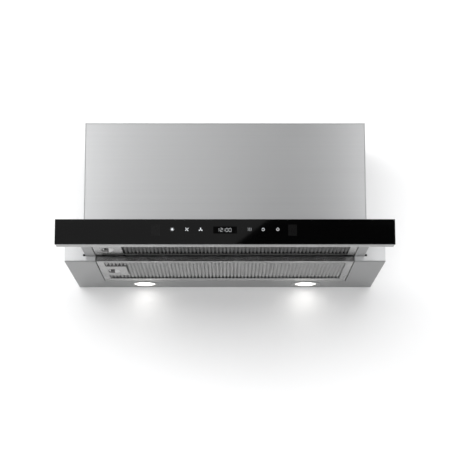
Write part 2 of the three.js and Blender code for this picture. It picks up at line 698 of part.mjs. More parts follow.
function slider() {
  const cover = block(
    [-SLIDER_HALF, SLIDER_HALF],
    [PANEL_BACK + GAP, SLIDER_COVER_REAR],
    [SLIDER_TOP, SLIDER_TOP + SHEET],
  );
  const rearBar = block(
    [-BAY_HALF + GAP, BAY_HALF - GAP],
    [SLIDER_COVER_REAR, SLIDER_COVER_REAR + 12],
    [SLIDER_FLOOR + FILTER_THICK + 1.6, SLIDER_TOP - GAP],
  );
  const pairs = [[-1, 'left'], [1, 'right']].flatMap(([side, hand]) => [
    piece(`slider_${hand}_side`, sliderSide(side), FINISH.brushedSteel),
    piece(`${hand}_inner_rail`, channel(side, INNER_RAIL), FINISH.zincPlate),
  ]);
  return group(
    [0, 0, 0],
    ...pairs,
    piece('slider_cover', cover, FINISH.brushedSteel),
    piece('slider_rear_bar', rearBar, FINISH.galvanised),
    frontPanel(),
    filter(FRONT_FILTER, SLIDER_FLOOR),
  );
}

// ---- The whole hood ----

const hood = group(
  [0, 0, -ORIGIN_HEIGHT],
  lowerBody(),
  lamp(-1, 'left'),
  lamp(1, 'right'),
  upperHousing(),
  blower(),
  outlet(),
  electrics(),
  slider(),
  filter(REAR_FILTER, 0),
);
hood.name = 'pull_out_range_hood';

export default hood;
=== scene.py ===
"""The looks of a pull-out range hood: its camera, its studio, its finishes and its fine pieces.

Lengths are millimetres measured from the underside of the hood (z), from the wall (y) and from
its middle (x), as TO_ROW turns them into the row frame, which is in metres.
"""

import math

import bmesh
import bpy
from mathutils import Matrix, Vector


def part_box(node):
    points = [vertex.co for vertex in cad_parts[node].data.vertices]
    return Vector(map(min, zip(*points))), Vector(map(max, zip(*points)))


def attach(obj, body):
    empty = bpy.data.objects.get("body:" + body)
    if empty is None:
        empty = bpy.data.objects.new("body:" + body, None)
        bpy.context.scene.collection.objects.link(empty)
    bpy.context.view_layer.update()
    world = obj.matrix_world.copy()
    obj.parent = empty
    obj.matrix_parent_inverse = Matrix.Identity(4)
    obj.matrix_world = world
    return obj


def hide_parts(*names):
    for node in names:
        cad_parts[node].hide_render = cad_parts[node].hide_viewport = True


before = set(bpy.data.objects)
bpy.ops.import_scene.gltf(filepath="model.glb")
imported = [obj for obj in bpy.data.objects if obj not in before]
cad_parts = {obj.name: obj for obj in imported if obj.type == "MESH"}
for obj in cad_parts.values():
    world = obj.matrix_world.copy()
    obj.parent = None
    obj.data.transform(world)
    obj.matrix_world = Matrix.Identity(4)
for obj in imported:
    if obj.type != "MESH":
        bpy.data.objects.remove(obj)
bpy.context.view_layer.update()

# ---- Driving dimensions ----

MM = 0.001  # in metres
ORIGIN_HEIGHT = 150  # of the row frame's origin above the underside
TO_ROW = Matrix.Translation((0, 0, -ORIGIN_HEIGHT * MM)) @ Matrix.Scale(MM, 4)
SIDES = ((-1, "left"), (1, "right"))


def span_of(node):
    """A CAD node's spans along x, y and z, in millimetres."""
    low, high = (TO_ROW.inverted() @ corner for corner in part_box(node))
    return [(low[axis], high[axis]) for axis in range(3)]


BASE_HALF = span_of("base_underside")[0][1]
BASE_TOP = span_of("base_top_plate")[2][1]
HOUSING_HALF = span_of("housing_right_panel")[0][1]
HOUSING_TOP = span_of("housing_top_panel")[2][1]


# ---- Camera ----

PHOTO_SIDE = 450  # pixels
FOCAL_PIXELS = 1406.2
CAMERA_PLACE = (1.3, -2852.3, -493.4)
CAMERA_PITCH = 10.143  # degrees above the horizon
CAMERA_SHIFT = (-0.0016, 0.12)  # shares of the picture's side
SENSOR = 36


def place_camera():
    """The camera fitted to the hood's corners in the photograph."""
    data = bpy.data.cameras.new("photo_camera")
    data.sensor_width = SENSOR
    data.lens = FOCAL_PIXELS / PHOTO_SIDE * SENSOR
    data.shift_x, data.shift_y = CAMERA_SHIFT
    camera = bpy.data.objects.new("photo_camera", data)
    camera.location = TO_ROW @ Vector(CAMERA_PLACE)
    camera.rotation_euler = (math.radians(90 + CAMERA_PITCH), 0, 0)
    bpy.context.scene.collection.objects.link(camera)
    bpy.context.scene.camera = camera


# ---- Node trees ----


class Tree:
    """A node tree, written as nested calls."""

    def __init__(self, owner, empty=True):
        owner.use_nodes = True
        self.tree = owner.node_tree
        if empty:
            self.tree.nodes.clear()

    def add(self, kind, settings=None, **inputs):
        """A new node. An input's name has _ for each space, and feed() takes its value."""
        node = self.tree.nodes.new("ShaderNode" + kind)
        for key, value in (settings or {}).items():
            setattr(node, key, value)
        for key, value in inputs.items():
            self.feed(node.inputs[key.replace("_", " ")], value)
        return node

    def feed(self, socket, value):
        """Links an input to a node or socket, or sets its value."""
        if isinstance(value, bpy.types.Node):
            value = next(out for out in value.outputs if out.enabled)
        if isinstance(value, bpy.types.NodeSocket):
            self.tree.links.new(value, socket)
        else:
            socket.default_value = value


class Finish(Tree):
    """A material of one Principled shader, with helpers for what drives it."""

    def __init__(self, name, **inputs):
        self.material = bpy.data.materials.new(name)
        super().__init__(self.material, empty=False)
        self.shader = self.tree.nodes["Principled BSDF"]
        self.place = self.add("TexCoord").outputs["Object"]
        self.set(**inputs)

    def set(self, **inputs):
        """Gives numbers, colours or sockets to the shader."""
        for key, value in inputs.items():
            self.feed(self.shader.inputs[key.replace("_", " ")], value)

    def spread(self, stretch):
        """Coordinates times the features per metre: a whole number, or one for each axis."""
        scale = (stretch,) * 3 if isinstance(stretch, int) else stretch
        return self.add("Mapping", {"vector_type": "POINT"}, Vector=self.place, Scale=scale)

    def noise(self, stretch, detail=4.0, roughness=0.55):
        """Cloudy noise from 0 to 1."""
        place = self.spread(stretch)
        texture = self.add("TexNoise", Vector=place, Scale=1.0, Detail=detail, Roughness=roughness)
        return texture.outputs["Fac"]

    def cells(self, stretch, feature="F1", output="Distance"):
        """Cells: each one's colour, or the distance from a centre or an edge."""
        texture = self.add("TexVoronoi", {"feature": feature}, Vector=self.spread(stretch), Scale=1.0)
        return texture.outputs[output]

    def mix(self, share, first, second):
        """Two values, of which the second has the share."""
        return self.add("Mix", {"data_type": "FLOAT"}, Factor=share, A=first, B=second)

    def level(self, value, low, high, at=(0.3, 0.7)):
        """A value's stretch from at[0] to at[1] turned into low to high."""
        node = self.add("MapRange", Value=value, From_Min=at[0], From_Max=at[1], To_Min=low, To_Max=high)
        return node.outputs["Result"]

    def between(self, value, first, second, at=(0.3, 0.7)):
        """A colour from the first to the second as a value goes over a stretch."""
        ramp = self.add("ValToRGB", Fac=value)
        for stop, place, color in zip(ramp.color_ramp.elements, at, (first, second)):
            stop.position = place
            stop.color = (*color, 1)
        return ramp.outputs["Color"]

    def tinted(self, color, value, share, at=(0.3, 0.7)):
        """A colour that a value darkens and lightens by a share."""
        low, high = ([channel * (1 + sign * share) for channel in color] for sign in (-1, 1))
        return self.between(value, low, high, at)

    def bump(self, height, distance, strength):
        """A bump of a real height, in metres."""
        self.set(Normal=self.add("Bump", Height=height, Distance=distance, Strength=strength))


def grey(value, warmth=0.0):
    """A near-grey colour; warmth above 0 leans to red and below 0 to blue."""
    return (value * (1 + warmth), value, value * (1 - warmth))


# ---- Finishes ----

MOULD_GRAIN = 1400  # features per metre


def brushed_steel(name, tone, along, around):
    """Stainless sheet brushed along x: fine lines, cloudy patches and a stretched reflection.

    along holds the features per metre on each axis, and the lines circle the axis around.
    """
    finish = Finish(name, Metallic=1.0, Anisotropic=0.9, Anisotropic_Rotation=0.25)
    streak = finish.noise(along, detail=6.0, roughness=0.7)
    wide_streak = finish.noise([value / 9 for value in along], detail=3.0)
    cloud = finish.noise(7, detail=3.0)
    finish.set(
        Base_Color=finish.tinted(grey(tone, -0.006), finish.mix(0.45, streak, wide_streak), 0.03),
        Roughness=finish.level(finish.mix(0.5, streak, cloud), 0.30, 0.36),
        Tangent=finish.add("Tangent", {"direction_type": "RADIAL", "axis": around}),
    )
    finish.bump(streak, 0.00002, 0.2)
    return finish


def galvanised_steel(name, tone):
    """Hot-dipped sheet: grains of zinc that each catch the light differently."""
    finish = Finish(name, Metallic=0.92)
    grain = finish.cells(55, output="Color")
    value = finish.add("SeparateColor", Color=grain).outputs[0]
    cloud = finish.noise(18, detail=6.0)
    patchy = finish.mix(0.4, value, cloud)
    finish.set(
        Base_Color=finish.tinted(grey(tone, -0.015), patchy, 0.13, (0.15, 0.85)),
        Roughness=finish.level(value, 0.36, 0.56, (0, 1)),
    )
    finish.bump(finish.noise(900, detail=3.0), 0.00005, 0.3)
    return finish


def zinc_plate(name, tone):
    """Bright zinc plate over drawn steel, with faint draw lines and a trace of yellow."""
    finish = Finish(name, Metallic=1.0)
    lines = finish.noise((900, 12, 900))
    cloud = finish.noise(40, detail=5.0)
    finish.set(
        Base_Color=finish.between(cloud, grey(tone * 0.93, 0.012), grey(tone, -0.012)),
        Roughness=finish.level(lines, 0.24, 0.4),
    )
    finish.bump(lines, 0.00004, 0.3)
    return finish


def satin_aluminium(name, tone, roughness, metallic=1.0):
    """Rolled aluminium with a fine matt grain and light lines along x."""
    finish = Finish(name, Metallic=metallic)
    grain = finish.noise(1500, detail=2.0)
    rolled = finish.noise((9, 500, 500), detail=5.0)
    smudge = finish.noise(22, detail=5.0, roughness=0.65)
    worn = finish.mix(0.5, grain, smudge)
    finish.set(
        Base_Color=finish.tinted(grey(tone, 0.004), finish.mix(0.4, rolled, smudge), 0.06),
        Roughness=finish.level(worn, roughness - 0.08, roughness + 0.08),
    )
    finish.bump(grain, 0.00004, 0.35)
    return finish


def expanded_metal(name, tone, metallic):
    """A filter's inner layers: diamonds of aluminium, with painted shade in the holes between them."""
    finish = Finish(name, Metallic=metallic)
    holes = finish.cells(420, feature="DISTANCE_TO_EDGE")
    patch = finish.noise((60, 25, 60))
    finish.set(
        # The holes are painted dark: painted shade.
        Base_Color=finish.between(holes, grey(tone * 1.15), grey(tone * 0.22), (0.08, 0.3)),
        Roughness=finish.level(patch, 0.4, 0.6),
    )
    finish.bump(holes, 0.0004, 0.8)
    return finish


def black_glass(name):
    """Toughened glass with a black print behind it, and the faintest ripple."""
    finish = Finish(name, Specular_IOR_Level=0.5, IOR=1.5)
    ripple = finish.noise((6, 6, 12), detail=1.0)
    dust = finish.noise(700, detail=2.0)
    finish.set(
        Base_Color=finish.tinted(grey(0.0007, -0.05), ripple, 0.2),
        Roughness=finish.level(dust, 0.015, 0.05),
    )
    finish.bump(ripple, 0.00003, 0.15)
    return finish


def moulded_plastic(name, color, roughness, grain=MOULD_GRAIN, specular=0.45):
    """Moulded plastic with a fine grain and slightly uneven colour."""
    finish = Finish(name, Specular_IOR_Level=specular)
    texture = finish.noise(grain, detail=3.0)
    flow = finish.noise(30, detail=3.0)
    finish.set(
        Base_Color=finish.tinted(color, flow, 0.08),
        Roughness=finish.level(texture, roughness - 0.08, roughness + 0.1),
    )
    finish.bump(texture, 0.00006, 0.5)
    return finish


def circuit_laminate(name):
    """A green solder mask over copper tracks."""
    finish = Finish(name, Specular_IOR_Level=0.5)
    bricks = finish.add("TexBrick", Vector=finish.place, Scale=240.0, Mortar_Size=0.08)
    tracks = bricks.outputs["Fac"]
    bare, over_copper = (0.012, 0.085, 0.035), (0.03, 0.17, 0.06)
    finish.set(
        Base_Color=finish.between(tracks, bare, over_copper, (0.2, 0.8)),
        Roughness=finish.level(finish.noise(900), 0.3, 0.5),
    )
    finish.bump(tracks, 0.00008, 0.6)
    return finish


def lit_lens(name, strength):
    """A frosted lens lit by the diodes behind it."""
    finish = Finish(name, Base_Color=(0.9, 0.89, 0.85, 1))
    frost = finish.noise(700, detail=3.0)
    finish.set(
        Roughness=finish.level(frost, 0.25, 0.45),
        Emission_Color=finish.between(frost, (1.0, 0.98, 0.94), (1.0, 0.99, 0.97)),
        Emission_Strength=strength,
    )
    finish.bump(frost, 0.00008, 0.4)
    return finish


def lit_print(name, color, strength):
    """A symbol that shines through a clear window in the black print."""
    finish = Finish(name, Base_Color=(*grey(0.04), 1), Roughness=0.3)
    mottle = finish.noise(2500, detail=2.0)
    finish.set(
        Emission_Color=finish.tinted(color, mottle, 0.06),
        Emission_Strength=strength,
    )
    return finish


def finishes():
    """Every material by its name. A record slot's usual one has the slot's name."""
    upright, flat = (5, 5, 1300), (5, 1300, 5)
    cool_white = (0.93, 0.97, 1.0)
    recipes = {
        "outer_steel": (brushed_steel, 0.62, upright, "Z"),
        # The next is the outer steel brushed along its face and made far darker: painted shade on the
        # faces that look down.
        "outer_steel_flat": (brushed_steel, 0.28, flat, "Y"),
        # The next is the outer steel made lighter: painted light on the lower body's end faces.
        "cheek_steel": (brushed_steel, 0.69, upright, "Z"),
        "inner_steel": (galvanised_steel, 0.5),
        "rail_steel": (zinc_plate, 0.62),
        "filter_aluminium": (satin_aluminium, 0.3, 0.25),
        "filter_mesh": (satin_aluminium, 0.48, 0.6, 0.3),
        "filter_core": (expanded_metal, 0.48, 0.2),
        # The front filter's two finishes are darker copies of the rear filter's: painted shade, where the
        # slider above shades the front filter.
        "front_filter_mesh": (satin_aluminium, 0.165, 0.6, 0.2),
        "front_filter_core": (expanded_metal, 0.19, 0.1),
        # The next is the filter aluminium made lighter: a painted highlight on the finger cup's end.
        "bright_aluminium": (satin_aluminium, 0.5, 0.35),
        "panel_aluminium": (satin_aluminium, 0.26, 0.3),
        "black_glass": (black_glass,),
        "grey_plastic": (moulded_plastic, grey(0.16, -0.02), 0.5),
        "black_plastic": (moulded_plastic, grey(0.012), 0.45),
        "white_plastic": (moulded_plastic, grey(0.74, 0.01), 0.42),
        "circuit_board": (circuit_laminate,),
        "rubber": (moulded_plastic, grey(0.009), 0.7, 700),
        "lamp_lens": (lit_lens, 12.5),
        "lens_rim": (lit_lens, 1.2),
        "lit_white": (lit_print, cool_white, 0.92),
        "lit_line": (lit_print, cool_white, 1.3),
        "lit_clock": (lit_print, (0.95, 0.98, 1.0), 0.78),
        "lit_dim": (lit_print, cool_white, 0.28),
        "display_window": (moulded_plastic, grey(0.001), 0.6, MOULD_GRAIN, 0.02),
        "faint_print": (moulded_plastic, grey(0.014), 0.6, MOULD_GRAIN, 0.02),
    }
    return {name: make(name, *values).material for name, (make, *values) in recipes.items()}


# ---- Shapes ----

AXES = {"x": (1, 2, 0), "y": (0, 2, 1), "z": (0, 1, 2)}  # where an outline's u, v and depth go
SHARP_ANGLE = 28  # degrees, above which an edge is rounded


class Form:
    """Closed shapes in one mesh, in millimetres until piece() finishes it."""

    def __init__(self):
        self.mesh = bmesh.new()
        self.home = Matrix()

    def at(self, place, facing=(0, 0, 1), turn=0):
        """What follows is drawn about a place, with its own z towards a direction."""
        tilt = Vector((0, 0, 1)).rotation_difference(Vector(facing)).to_matrix().to_4x4()
        self.home = Matrix.Translation(place) @ tilt @ Matrix.Rotation(math.radians(turn), 4, "Z")
        return self

    def vert(self, place):
        """A point, where at() says."""
        return self.mesh.verts.new(self.home @ Vector(place))

    def ring(self, radius, height, sides, reach=lambda turn: 1):
        """Points about z, at the share of the radius that reach() gives."""
        ring = []
        for turn in (2 * math.pi * side / sides for side in range(sides)):
            far = radius * reach(turn)
            ring.append(self.vert((far * math.cos(turn), far * math.sin(turn), height)))
        return ring

    def point(self, u, v, depth, axis):
        """A corner of an outline that is drawn across an axis."""
        place = [0, 0, 0]
        for index, value in zip(AXES[axis], (u, v, depth)):
            place[index] = value
        return self.vert(place)

    def skin(self, first, second):
        """A band of faces between two loops of as many points each."""
        for index in range(len(first)):
            after = (index + 1) % len(first)
            self.mesh.faces.new([first[index], first[after], second[after], second[index]])

    def loft(self, rings, closed=False):
        """Skins a row of rings, and closes its two ends unless it's a loop."""
        for first, second in zip(rings, rings[1:] + rings[:1] if closed else rings[1:]):
            self.skin(first, second)
        if not closed:
            self.mesh.faces.new(rings[0])
            self.mesh.faces.new(rings[-1])
        return self

    def prism(self, outline, span, axis="y"):
        """An outline of (u, v) points, drawn out over a span along an axis."""
        return self.loft([[self.point(u, v, depth, axis) for u, v in outline] for depth in span])

    def block(self, x, y, z):
        """A block over three spans."""
        return self.prism(corners(x, z), y)

    def plate(self, outline, holes, span, axis="y"):
        """A flat plate with holes, each an outline of (u, v) points, over a span along an axis."""
        sides = []
        for depth in span:
            loops = [[self.point(u, v, depth, axis) for u, v in loop] for loop in (outline, *holes)]
            pairs = (pair for loop in loops for pair in zip(loop, loop[1:] + loop[:1]))
            edges = [self.mesh.edges.new(pair) for pair in pairs]
            bmesh.ops.triangle_fill(self.mesh, use_beauty=True, edges=edges)
            sides.append(loops)
        for first, second in zip(*sides):
            self.skin(first, second)
        return self

    def turned(self, profile, sides=64, solid=False):
        """A profile of (radius, height) points turned about z: a loop or, for a solid, an open line."""
        return self.loft([self.ring(*point, sides) for point in profile], closed=not solid)

    def screw(self, radius=2.8, height=1.8):
        """A screw's head with a cross recess."""
        head = ((1, -0.05), (1, 0.35), (0.86, 0.8), (0.62, 1))
        recess = ((0.58, 1), (0.42, 0.2))
        return self.loft(
            [self.ring(radius * share, height * level, 32) for share, level in head]
            + [self.ring(radius * share, height * level, 32, cross_reach) for share, level in recess])

    def rod(self, start, end, radius, sides=10):
        """A straight round rod."""
        start, end = Vector(start), Vector(end)
        ahead = (end - start).normalized()
        side = Vector((0.31, 0.42, 0.85))  # any direction that isn't along the rod
        side = (side - ahead * side.dot(ahead)).normalized()
        other = ahead.cross(side)
        turns = [2 * math.pi * step / sides for step in range(sides)]
        around = [radius * (side * math.cos(turn) + other * math.sin(turn)) for turn in turns]
        return self.loft([[self.vert(place + out) for out in around] for place in (start, end)])

    def piece(self, name, body, slot, material=None, bevel=0.0, smooth=40, replaces=()):
        """The shapes as one piece of the hood that rides on a body."""
        bmesh.ops.recalc_face_normals(self.mesh, faces=self.mesh.faces)
        mesh = bpy.data.meshes.new(name)
        self.mesh.to_mesh(mesh)
        self.mesh.free()
        mesh.transform(TO_ROW)
        mesh.shade_smooth()
        mesh.set_sharp_from_angle(angle=math.radians(smooth))
        made = bpy.data.objects.new(name, mesh)
        bpy.context.scene.collection.objects.link(made)
        mesh.materials.append(FINISHES[material or slot])
        if bevel:
            soften(made, bevel)
        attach(made, body)
        if replaces:
            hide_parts(*replaces)
        return made


def soften(piece, width):
    """Rounds a piece's sharp edges."""
    bevel = piece.modifiers.new("rounded_edges", "BEVEL")
    bevel.width = width * MM
    bevel.segments = 2
    bevel.limit_method = "ANGLE"
    bevel.angle_limit = math.radians(SHARP_ANGLE)
    bevel.harden_normals = True


def corners(u, v):
    """The corners of a rectangle over a span of u and one of v."""
    return [(u[0], v[0]), (u[1], v[0]), (u[1], v[1]), (u[0], v[1])]


def arc(centre, radius, start, end, steps):
    """Points along an arc, its angles in degrees."""
    turns = [math.radians(start + (end - start) * step / steps) for step in range(steps + 1)]
    return [(centre[0] + radius * math.cos(turn), centre[1] + radius * math.sin(turn)) for turn in turns]


def circle(centre, radius, steps=32):
    """Points round a circle."""
    return arc(centre, radius, 0, 360, steps)[:-1]


def rounded(centre, half_u, half_v, radius):
    """A rectangle with round corners."""
    outline = []
    for corner, (sign_u, sign_v) in enumerate(((1, 1), (-1, 1), (-1, -1), (1, -1))):
        middle = (centre[0] + sign_u * (half_u - radius), centre[1] + sign_v * (half_v - radius))
        outline += arc(middle, radius, 90 * corner, 90 * corner + 90, 8)
    return outline


def cross_reach(turn, arm=0.3):
    """How far a cross of reach 1 extends in a direction."""
    folded = abs((turn + math.pi / 4) % (math.pi / 2) - math.pi / 4)
    return min(1 / math.cos(folded), arm / max(math.sin(folded), 0.001))


# ---- CAD nodes ----

FINISH_NODES = {
    "outer_steel": ["housing_front_panel", "housing_left_panel", "housing_right_panel", "panel_back"],
    # The lower body's end faces take a lighter copy of the outer steel: painted light.
    "cheek_steel": ["base_left_cheek", "base_right_cheek"],
    # The underside, the slider's cover and sides take the darker copy of the outer steel: painted shade.
    "outer_steel_flat": ["base_underside", "slider_cover", "slider_left_side", "slider_right_side"],
    "inner_steel": [
        "base_rear_wall", "base_top_plate", "left_rail_hanger", "right_rail_hanger",
        "housing_rear_panel", "housing_top_panel", "motor", "motor_bracket", "slider_rear_bar",
    ],
    "rail_steel": [
        "left_fixed_rail", "right_fixed_rail", "left_middle_rail", "right_middle_rail",
        "left_inner_rail", "right_inner_rail", "left_lamp_bezel", "right_lamp_bezel",
        "front_filter_latch", "rear_filter_latch", "motor_shaft",
    ],
    "filter_aluminium": [
        "front_filter_frame", "front_filter_handle", "rear_filter_frame", "rear_filter_handle",
    ],
    "filter_core": ["rear_filter_mesh"],
    # The front filter's core takes a darker copy of the filter core finish: painted shade.
    "front_filter_core": ["front_filter_mesh"],
    "panel_aluminium": ["panel_frame"],
    "black_glass": ["glass_fascia"],
    "grey_plastic": ["left_lamp_body", "right_lamp_body", "impeller"],
    "black_plastic": [
        "blower_scroll", "blower_left_plate", "blower_right_plate", "outlet_collar",
        "damper_front_flap", "damper_rear_flap", "mains_gland", "display_module",
    ],
    "white_plastic": ["control_box", "control_box_lid", "motor_capacitor"],
    "circuit_board": ["power_board", "touch_board"],
    "rubber": ["left_glide_pad", "right_glide_pad", "lamp_harness"],
    "lamp_lens": ["left_lamp_lens", "right_lamp_lens"],
}
EDGE = {
    "glass_fascia": 0.35, "panel_frame": 0.5, "impeller": 0.25, "mains_gland": 0.6, "control_box": 0.8,
}
USUAL_EDGE = 0.3
WELD_REACH = 0.004
FLAT_ANGLE = 0.5  # degrees, below which two faces are made one
SHARP_NODES = {"front_filter_mesh", "rear_filter_mesh", "lamp_harness"}


def dress_nodes():
    """Gives every CAD node its finish, and rounds its edges."""
    for finish, names in FINISH_NODES.items():
        for name in names:
            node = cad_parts[name]
            node.data.materials.clear()
            node.data.materials.append(FINISHES[finish])
            weld = node.modifiers.new("joined_faces", "WELD")
            weld.merge_threshold = WELD_REACH * MM
            flat = node.modifiers.new("flat_faces", "DECIMATE")
            flat.decimate_type = "DISSOLVE"
            flat.angle_limit = math.radians(FLAT_ANGLE)
            if name not in SHARP_NODES:
                soften(node, EDGE.get(name, USUAL_EDGE))


# ---- Grease filters ----

FOLD_PITCH = 7
CORE_SHEET = 1.6  # upright thickness of the folded core
LATTICE_GAP = 0.25  # from the core down to the lattice
STRAND = 0.9
CELL_LENGTH = 8  # of a diamond along the folds
# The front lattice's finish is a darker copy of the rear one's: painted shade.
LATTICE_FINISH = {"front_filter": "front_filter_mesh", "rear_filter": "filter_mesh"}
FRAME_SIDE = 13  # width of a filter frame's border
REAR_BORDER = {"front_filter": 13, "rear_filter": 26}
RIGHT_LUG = 4.5  # how far the right lugs stand out of a filter's frame
RIM = 0.55  # radius of the rolled edge round the mesh
SCOOP_LEFT = -213.9  # x where the cup's end begins to round off
SCOOP_HALF = 9.0  # of its straight stretch along y
SCOOP_RADIUS = 10.7
SCOOP_DEPTH = 6.9
SCOOP_STEPS = 12
# The buffers' black also paints the shade at the front filter's rear corners.
BUFFER_REACH = (219, 235)  # of the buffers, from the front filter's middle


def filter_lattice(name):
    """The outer layer of expanded metal, folded to follow the core just beneath it."""
    core_x, core_y, core_z = span_of(name + "_mesh")
    handle_x, handle_y, _ = span_of(name + "_handle")
    margin_x, margin_y = 2, 4  # kept free round the handle
    floor = core_z[0] - LATTICE_GAP
    depth = core_z[1] - core_z[0] - CORE_SHEET
    step_x, step_y = FOLD_PITCH / 4, CELL_LENGTH / 2
    columns = int((core_x[1] - core_x[0]) / step_x)
    rows = int((core_y[1] - core_y[0]) / step_y)
    form = Form()
    grid = {}

    def knot(column, row):
        if (column, row) not in grid:
            fold = abs((column % 4) - 2) / 2  # 1 in a valley, 0 on a ridge
            x, y = core_x[0] + column * step_x, core_y[0] + row * step_y
            grid[column, row] = form.vert((x, y, floor + (1 - fold) * depth))
        return grid[column, row]

    for column in range(1, columns):
        for row in range(1 + column % 2, rows, 2):
            x, y = core_x[0] + column * step_x, core_y[0] + row * step_y
            beside_handle = handle_y[0] - margin_y < y < handle_y[1] + margin_y
            if not (beside_handle and x < handle_x[1] + margin_x):
                form.mesh.faces.new([
                    knot(column - 1, row), knot(column, row - 1),
                    knot(column + 1, row), knot(column, row + 1),
                ])
    made = form.piece(name + "_lattice", name, "filter_mesh", LATTICE_FINISH[name])
    strands = made.modifiers.new("strands", "WIREFRAME")
    strands.thickness = STRAND * MM
    strands.use_even_offset = False


def finger_scoop(name):
    """The rounded end of the cup that a finger pulls the latch towards."""
    floor = span_of(name + "_handle")[2][0]
    middle = sum(span_of(name + "_latch")[1]) / 2
    reach = SCOOP_HALF + SCOOP_RADIUS
    top = floor + 0.4 + SCOOP_DEPTH
    form = Form()
    rings = []
    for step in range(SCOOP_STEPS + 1):
        along = math.sin(math.pi / 2 * step / SCOOP_STEPS)
        x = SCOOP_LEFT + SCOOP_RADIUS * along
        ring = []
        for side in range(-SCOOP_STEPS, SCOOP_STEPS + 1):
            y = reach * math.sin(math.pi / 2 * side / SCOOP_STEPS)
            beyond = max(abs(y) - SCOOP_HALF, 0) / SCOOP_RADIUS
            rise = math.sqrt(max(0, 1 - along ** 2 - beyond ** 2))
            ring.append(form.vert((x, middle + y, floor + 0.3 + SCOOP_DEPTH * rise)))
        ring += [form.vert((x, middle + sign * reach, top)) for sign in (1, -1)]
        rings.append(ring)
    form.loft(rings)
    # The cup's lighter aluminium is a painted highlight.
    form.piece(name + "_scoop", name, "filter_aluminium", "bright_aluminium", smooth=60)


def handle_skirt(name):
    """The handle plate's three free edges, folded up to the filter's inner face."""
    x, y, z = span_of(name + "_handle")
    wall = 0.6
    left, right = x[0] + 2, x[1]
    outline = [
        (left, y[0]), (right, y[0]), (right, y[1]), (left, y[1]),
        (left, y[1] - wall), (right - wall, y[1] - wall),
        (right - wall, y[0] + wall), (left, y[0] + wall),
    ]
    height = (z[0] + 0.5, span_of(name + "_mesh")[2][1])
    form = Form().prism(outline, height, "z")
    form.piece(name + "_handle_skirt", name, "filter_aluminium", smooth=30)


def filter_trim(name):
    """The rolled rim round the mesh and the mitred corners of the frame."""
    x, y, z = span_of(name + "_frame")
    outer_x = (x[0], x[1] - RIGHT_LUG)
    inner_x = (outer_x[0] + FRAME_SIDE, outer_x[1] - FRAME_SIDE)
    inner_y = (y[0] + FRAME_SIDE, y[1] - REAR_BORDER[name])
    level = z[0] + 0.1
    form = Form()
    for place in inner_x:
        form.rod((place, inner_y[0], level), (place, inner_y[1], level), RIM)
    for place in inner_y[:1] if name == "front_filter" else inner_y:
        form.rod((inner_x[0], place, level), (inner_x[1], place, level), RIM)
    form.piece(name + "_trim", name, "filter_aluminium", smooth=35)

    form = Form()
    for start_x, end_x in zip(outer_x, inner_x):
        for start_y, end_y in zip(y, inner_y):
            form.prism(seam((start_x, start_y), (end_x, end_y)), (z[0] - 0.03, level), "z")
    form.piece(name + "_mitres", name, "filter_aluminium", "rubber")


def seam(start, end, width=0.35):
    """The outline of a thin line that begins just inside the frame's corner."""
    across = Vector((end[1] - start[1], start[0] - end[0])).normalized() * width / 2
    start, end = Vector(start).lerp(end, 0.04), Vector(end)
    return [start + across, end + across, end - across, start - across]


def front_filter_painted_shade_strip():
    """A dark ribbed rubber strip along the front filter's rear, which paints the shade there, and two
    rubber buffers beside it, whose black also paints the shade at its rear corners.
    """
    x, y, z = span_of("front_filter_frame")
    left, right = x[0] + FRAME_SIDE, x[1] - RIGHT_LUG - FRAME_SIDE
    border = y[1] - FRAME_SIDE
    foot = z[0] - 0.25
    form = Form()
    # The dark strip paints the shade along the filter's rear.
    form.block((left, right), (border - 0.5, y[1] - 0.6), (foot, z[0] + 0.1))
    for rib in range(4):
        place = border + 2.4 + 2.9 * rib
        form.rod((left + 1, place, z[0] - 0.2), (right - 1, place, z[0] - 0.2), 0.12, 6)
    form.piece("front_filter_painted_shade_strip", "front_filter", "rubber")

    form = Form()
    middle = (left + right) / 2
    for side, _ in SIDES:
        ends = sorted(middle + side * reach for reach in BUFFER_REACH)
        form.block(ends, (y[1] - 4.2, y[1] - 0.4), (foot, z[0] + 0.2))
    form.piece("front_filter_buffers_painted_shade", "front_filter", "rubber", bevel=0.08)


# ---- Lamps ----

LENS_RADIUS = 21.4
LENS_MIDDLE = 14.0  # radius of its bright middle
LAMP_FACETS = 96


def lamp_glass():
    """Turned bezels and domed lenses, in place of the faceted ones."""
    for _, hand in SIDES:
        x, y, z = span_of(f"{hand}_lamp_bezel")
        lens_top = span_of(f"{hand}_lamp_lens")[2][1]
        centre, radius = (sum(x) / 2, sum(y) / 2, 0), (x[1] - x[0]) / 2
        opening, seat = LENS_RADIUS + 0.2, radius - 3.5
        form = Form().at(centre)
        form.turned([
            (opening, z[1]), (opening, -0.7), (opening + 0.3, -0.95),
            (radius - 1.8, -0.9), (radius - 0.4, -0.75), (radius, -0.35),
            (seat, -0.3), (seat, z[1]),
        ], LAMP_FACETS)
        # The bezels take the darker downward steel: painted shade.
        form.piece(f"{hand}_bezel_ring", "housing", "rail_steel", "outer_steel_flat", smooth=50,
                   replaces=[f"{hand}_lamp_bezel"])

        form = Form().at(centre)
        form.turned([
            (0.1, -0.8), (8, -0.78), (LENS_MIDDLE, -0.68), (LENS_MIDDLE, lens_top), (0.1, lens_top),
        ], LAMP_FACETS, solid=True)
        form.piece(f"{hand}_lens_dome", "housing", "lamp_lens", smooth=50, replaces=[f"{hand}_lamp_lens"])

        form = Form().at(centre)
        inner, outer = LENS_MIDDLE + 0.02, LENS_RADIUS - 0.1
        form.turned([
            (inner, -0.68), (18.5, -0.5), (outer - 0.7, -0.3), (outer, 0.1),
            (outer, lens_top), (inner, lens_top),
        ], LAMP_FACETS)
        form.piece(f"{hand}_lens_rim", "housing", "lamp_lens", "lens_rim", smooth=50)


# ---- Top, back and sides ----

